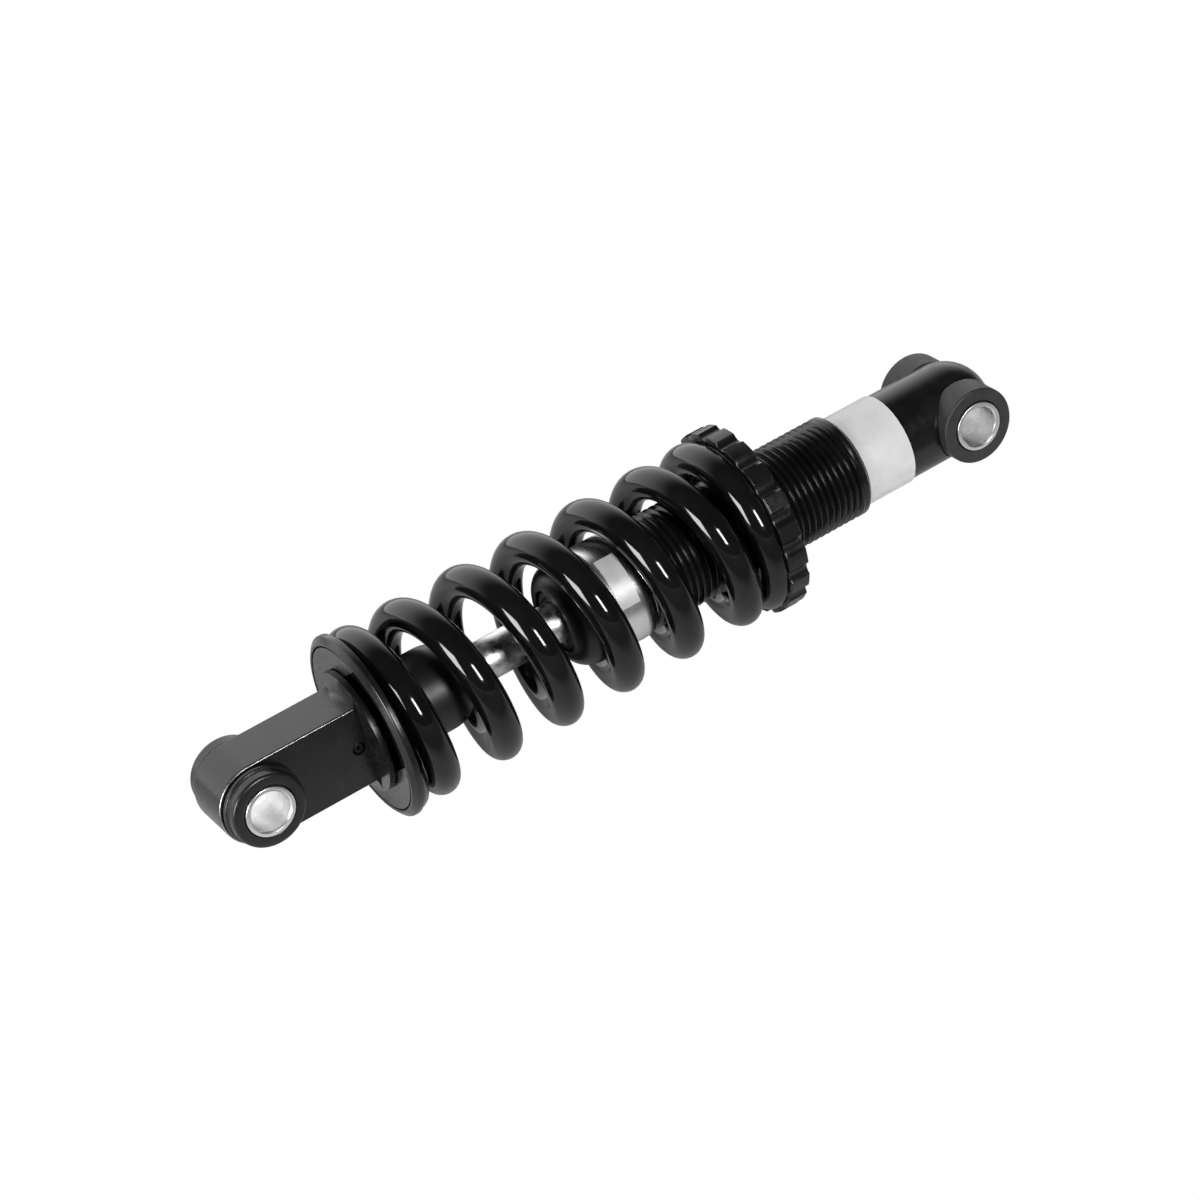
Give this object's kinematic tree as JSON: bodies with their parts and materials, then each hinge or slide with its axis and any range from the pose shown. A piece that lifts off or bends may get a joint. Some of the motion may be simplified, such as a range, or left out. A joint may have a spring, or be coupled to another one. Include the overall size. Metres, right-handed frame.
{
  "type": "rear shock",
  "caption": "Coil-over rear shock for a bicycle: sprung damper with an eye at each end, a screwed preload collar and a bump stop on its shaft.",
  "frame": {"origin": "centre of the upper eye, on the damper's axis and halfway across the eye", "axes": "+X along the shock from the lower eye to the upper eye, +Y along both eye bolts, +Z square to both"},
  "size_m": [0.1831, 0.0398, 0.0397],
  "materials": {
    "satin_black": "satin black, hard anodised or baked paint",
    "gloss_black": "gloss black powder coat",
    "black_nylon": "moulded black nylon, semi matte",
    "black_rubber": "matte moulded rubber",
    "hard_chrome": "ground and hard chromed, mirror bright",
    "bright_steel": "turned and bright zinc plated",
    "polished_aluminium": "turned and polished",
    "plain_steel": "plain machined steel",
    "bronze": "sintered bronze",
    "white_film": "blank white film"
  },
  "bodies": {
    "damper": {"damper_body": "satin_black", "body_label": "white_film", "upper_bush_left": "black_nylon", "upper_bush_right": "black_nylon", "head_housing": "polished_aluminium", "head_label": "white_film", "gland_cap": "satin_black", "wiper_seal": "black_rubber", "shaft_seal": "black_rubber", "guide_bush": "bronze", "head_o_ring": "black_rubber", "inner_tube": "plain_steel", "spring": "gloss_black"},
    "upper_sleeve": {"upper_sleeve": "bright_steel"},
    "thrust_washer": {"thrust_washer": "plain_steel"},
    "preload_collar": {"preload_collar": "satin_black"},
    "lower_seat": {"spring_seat": "gloss_black", "retaining_washer": "satin_black"},
    "shaft_assembly": {"shaft": "hard_chrome", "bump_stop": "black_rubber", "lower_eye": "gloss_black", "set_screw": "plain_steel", "lower_bush_left": "black_nylon", "lower_bush_right": "black_nylon", "top_out_rubber": "black_rubber", "rebound_shim": "plain_steel", "piston": "polished_aluminium", "piston_ring": "bronze", "piston_nut": "plain_steel"},
    "lower_sleeve": {"lower_sleeve": "bright_steel"}
  },
  "joints": [
    {"name": "shock_travel", "type": "slide", "parent": "damper", "child": "lower_seat", "axis": [1, 0, 0], "range_m": [0, 0.0225], "stiffness_N_per_m": 131000, "deforming": ["spring"]},
    {"name": "shaft_swivel", "type": "hinge", "parent": "lower_seat", "child": "shaft_assembly", "pos_m": [-0.165, 0, 0], "axis": [1, 0, 0], "continuous": true},
    {"name": "lower_bolt_turn", "type": "hinge", "parent": "shaft_assembly", "child": "lower_sleeve", "pos_m": [-0.165, 0, 0], "axis": [0, 1, 0], "continuous": true},
    {"name": "upper_bolt_turn", "type": "hinge", "parent": "damper", "child": "upper_sleeve", "pos_m": [0, 0, 0], "axis": [0, 1, 0], "continuous": true},
    {"name": "collar_slide", "type": "slide", "parent": "damper", "child": "thrust_washer", "axis": [1, 0, 0], "range_m": [0, 0.018]},
    {"name": "collar_turn", "type": "hinge", "parent": "thrust_washer", "child": "preload_collar", "pos_m": [-0.05065, 0, 0], "axis": [1, 0, 0], "range_deg": [0, 4320]}
  ],
  "couplings": [
    {"joint": "collar_slide", "follows": "collar_turn", "m_per_rad": 0.00023873}
  ]
}
